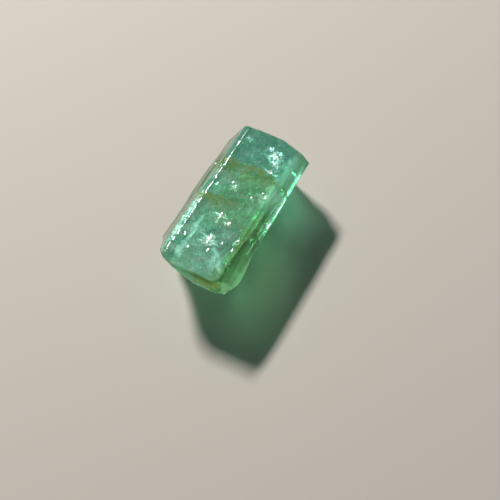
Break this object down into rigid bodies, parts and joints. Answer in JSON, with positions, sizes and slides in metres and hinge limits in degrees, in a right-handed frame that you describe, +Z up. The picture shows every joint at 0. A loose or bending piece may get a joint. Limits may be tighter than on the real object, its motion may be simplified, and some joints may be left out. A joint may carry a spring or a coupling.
{
  "type": "rough emerald crystal",
  "caption": "Translucent green six-sided natural crystal, broken at one end, that lies flat on a prism face.",
  "frame": {"origin": "middle of the bounding box's underside, on the plane of the face that it rests on", "axes": "+Y along the prism towards its whole end, -Y towards its broken end, +Z up out of the top prism face, +X towards the crystal's right edge"},
  "size_m": [0.0082, 0.0142, 0.0057],
  "materials": {
    "emerald": "see-through green beryl with a lightly worn, satin surface"
  },
  "bodies": {
    "root": {"emerald_crystal": "emerald"}
  },
  "joints": []
}
